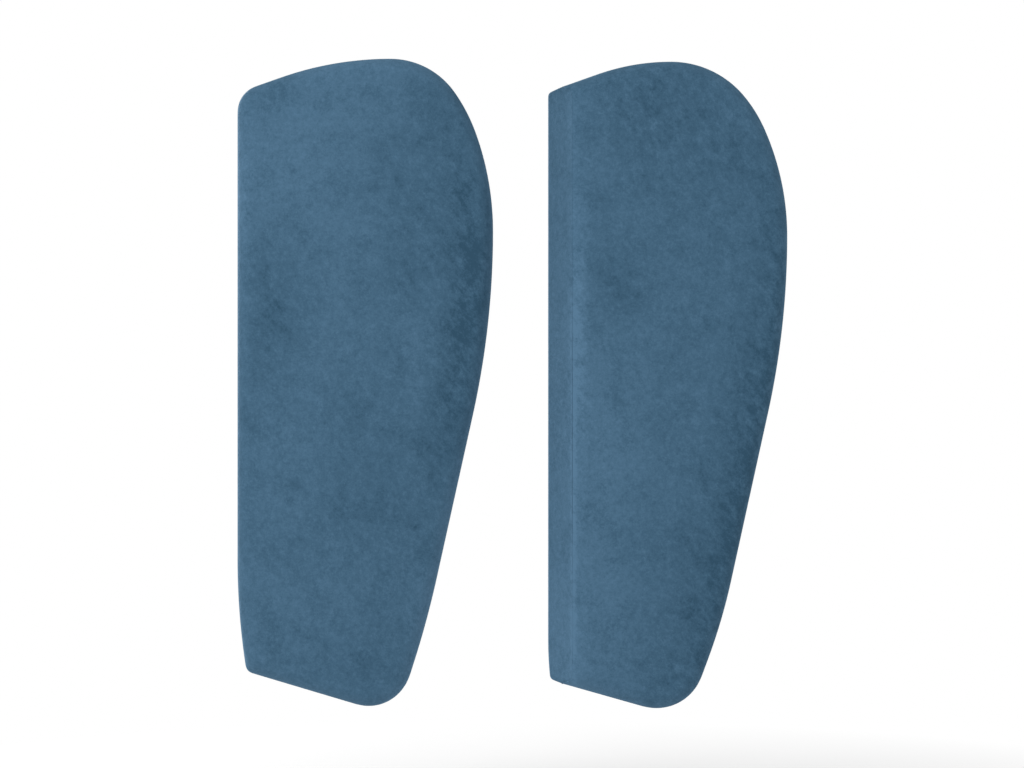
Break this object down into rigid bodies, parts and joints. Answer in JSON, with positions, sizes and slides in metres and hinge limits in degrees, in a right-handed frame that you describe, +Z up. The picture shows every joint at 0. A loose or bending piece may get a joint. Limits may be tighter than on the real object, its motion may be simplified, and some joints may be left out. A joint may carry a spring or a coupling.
{
  "type": "wall punch pad",
  "caption": "Matched pair of tall, curved, suede-covered foam striking pads on boards that hook onto rails on a wall.",
  "frame": {"origin": "centre of the pair's bounding box, at its lowest level", "axes": "+X right as seen from the room, +Y into the wall, +Z up"},
  "size_m": [0.5498, 0.052, 0.6496],
  "materials": {
    "suede": "short-napped polyester suede, slate blue, matt with a soft sheen",
    "wadding": "fluffy white polyester wadding",
    "strike_foam": "closed-cell dark grey foam",
    "core_foam": "open-cell pale yellow foam",
    "plywood": "raw birch plywood, sanded",
    "zinc_steel": "zinc-plated steel",
    "staple_steel": "galvanised wire",
    "dust_cloth": "black spun-bonded cloth, embossed with fine dots",
    "rail_aluminium": "extruded, clear anodised, satin with fine lengthwise lines",
    "bumper_rubber": "moulded black rubber, matt"
  },
  "bodies": {
    "wall_rails": {"upper_wall_rail_a": "rail_aluminium", "lower_wall_rail_a": "rail_aluminium", "upper_wall_rail_b": "rail_aluminium", "lower_wall_rail_b": "rail_aluminium"},
    "pad_a": {"face_panel_a": "suede", "side_band_a": "suede", "wadding_a": "wadding", "strike_foam_a": "strike_foam", "core_foam_a": "core_foam", "backing_board_a": "plywood", "tee_nuts_a": "zinc_steel", "cover_staples_a": "staple_steel", "dust_cloth_a": "dust_cloth", "dust_cloth_staples_a": "staple_steel", "upper_pad_rail_a": "rail_aluminium", "lower_pad_rail_a": "rail_aluminium", "rail_screws_a": "zinc_steel", "wall_bumpers_a": "bumper_rubber", "bumper_screws_a": "zinc_steel"},
    "pad_b": {"face_panel_b": "suede", "side_band_b": "suede", "wadding_b": "wadding", "strike_foam_b": "strike_foam", "core_foam_b": "core_foam", "backing_board_b": "plywood", "tee_nuts_b": "zinc_steel", "cover_staples_b": "staple_steel", "dust_cloth_b": "dust_cloth", "dust_cloth_staples_b": "staple_steel", "upper_pad_rail_b": "rail_aluminium", "lower_pad_rail_b": "rail_aluminium", "rail_screws_b": "zinc_steel", "wall_bumpers_b": "bumper_rubber", "bumper_screws_b": "zinc_steel"}
  },
  "joints": [
    {"name": "pad_a_lift", "type": "slide", "parent": "wall_rails", "child": "pad_a", "axis": [0, 0, 1], "range_m": [0, 0.014]},
    {"name": "pad_b_lift", "type": "slide", "parent": "wall_rails", "child": "pad_b", "axis": [0, 0, 1], "range_m": [0, 0.014]}
  ]
}
